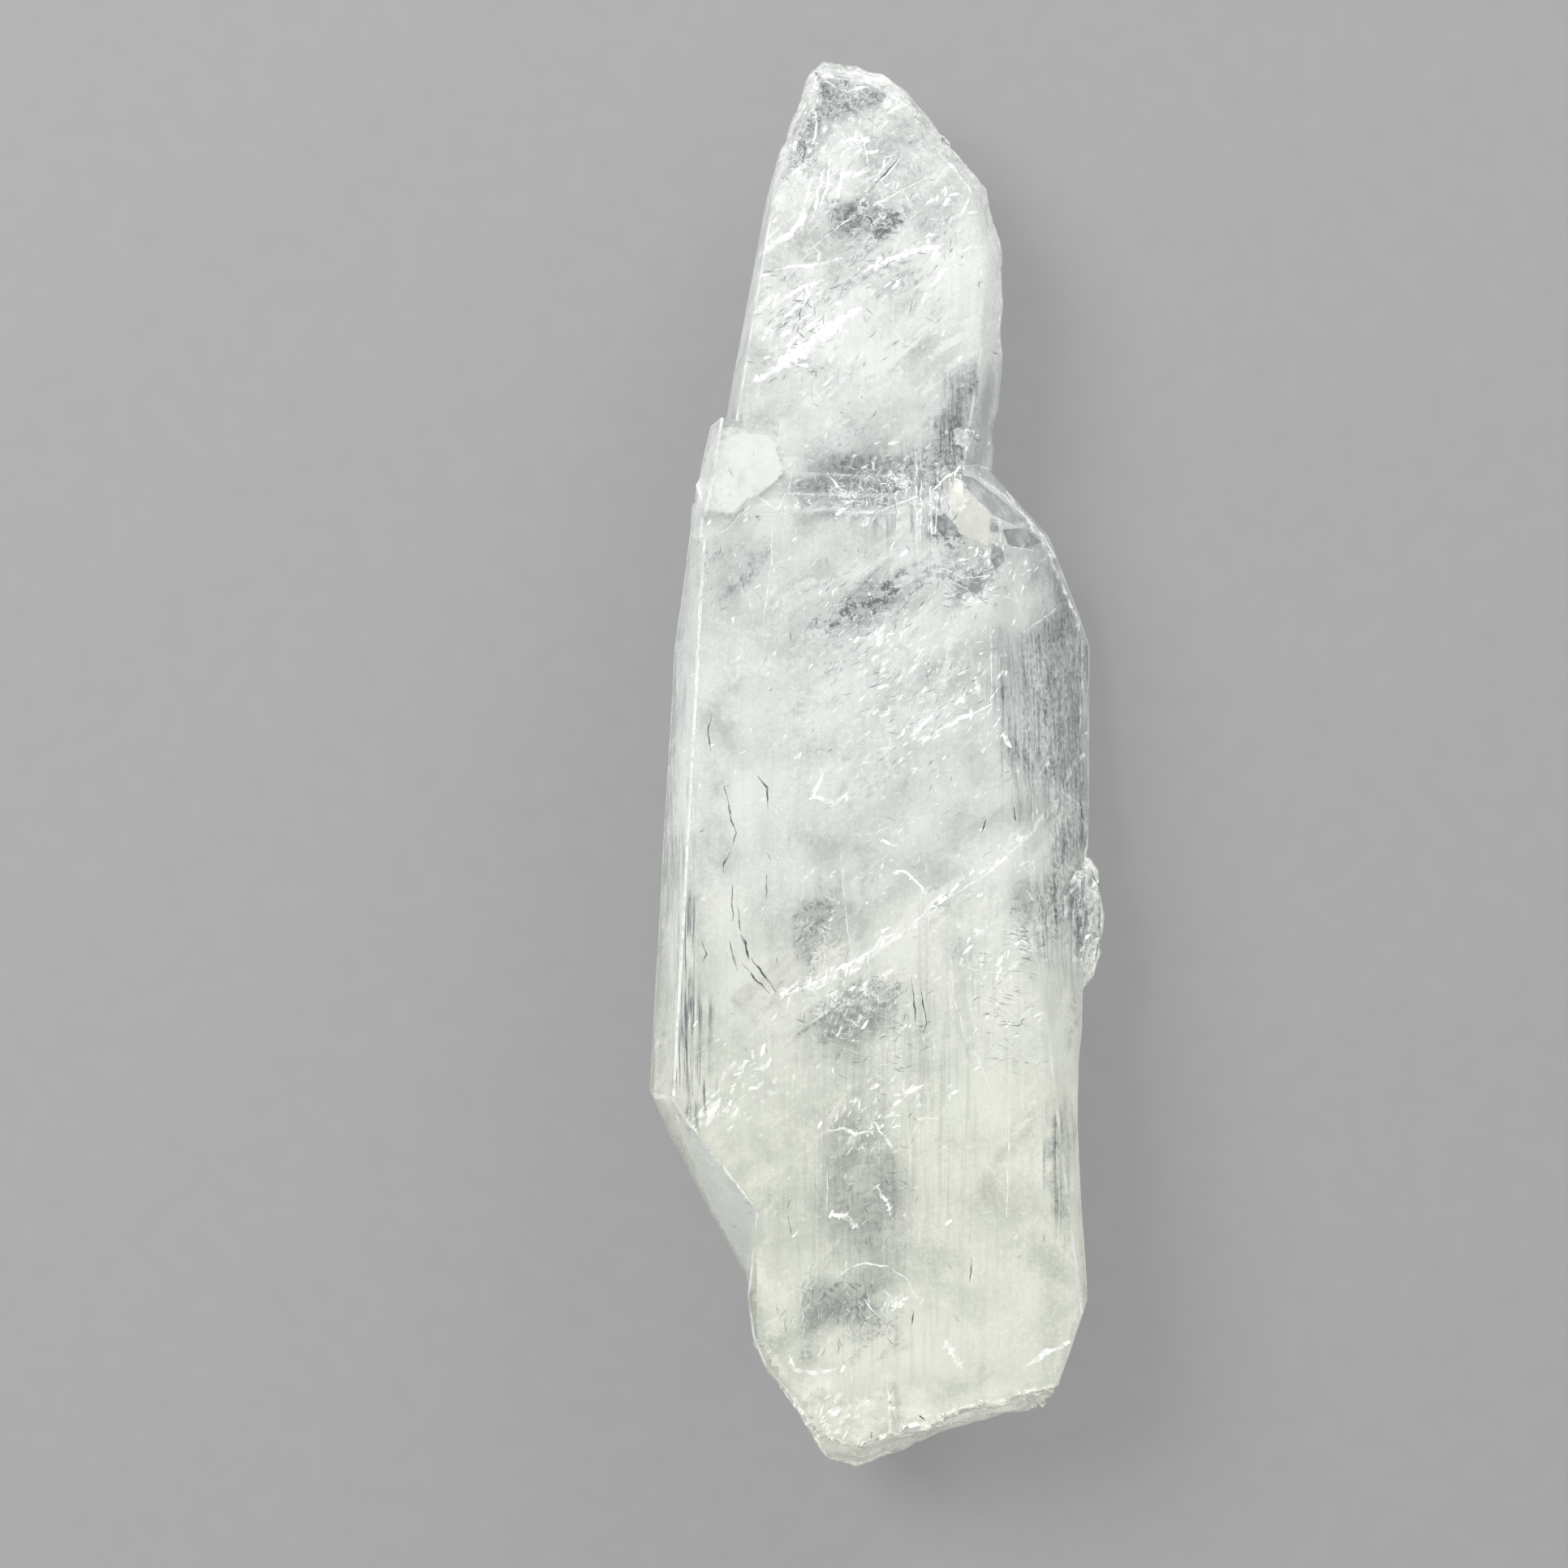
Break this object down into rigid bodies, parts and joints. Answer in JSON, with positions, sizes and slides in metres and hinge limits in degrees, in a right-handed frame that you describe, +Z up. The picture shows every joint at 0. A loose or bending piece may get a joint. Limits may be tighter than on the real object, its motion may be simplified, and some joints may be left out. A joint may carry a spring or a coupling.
{
  "type": "faden quartz crystal",
  "caption": "Tabular faden quartz crystal with flat prism faces, a narrower upper crystal, a broken foot and inner veils, lying on its flat back face as a display specimen.",
  "frame": {"origin": "under the middle of the crystal's bounding box, on the surface that its flat back face rests on", "axes": "+Y along the crystal toward its etched tip, +Z up out of its broad front face, +X toward the side with the deep prism face and the small lump"},
  "size_m": [0.0258, 0.08, 0.0115],
  "materials": {
    "quartz": "clear to milky white inside, with bright veils; glassy faces with fine growth lines, etched at the tip"
  },
  "bodies": {
    "root": {"crystal": "quartz"}
  },
  "joints": []
}
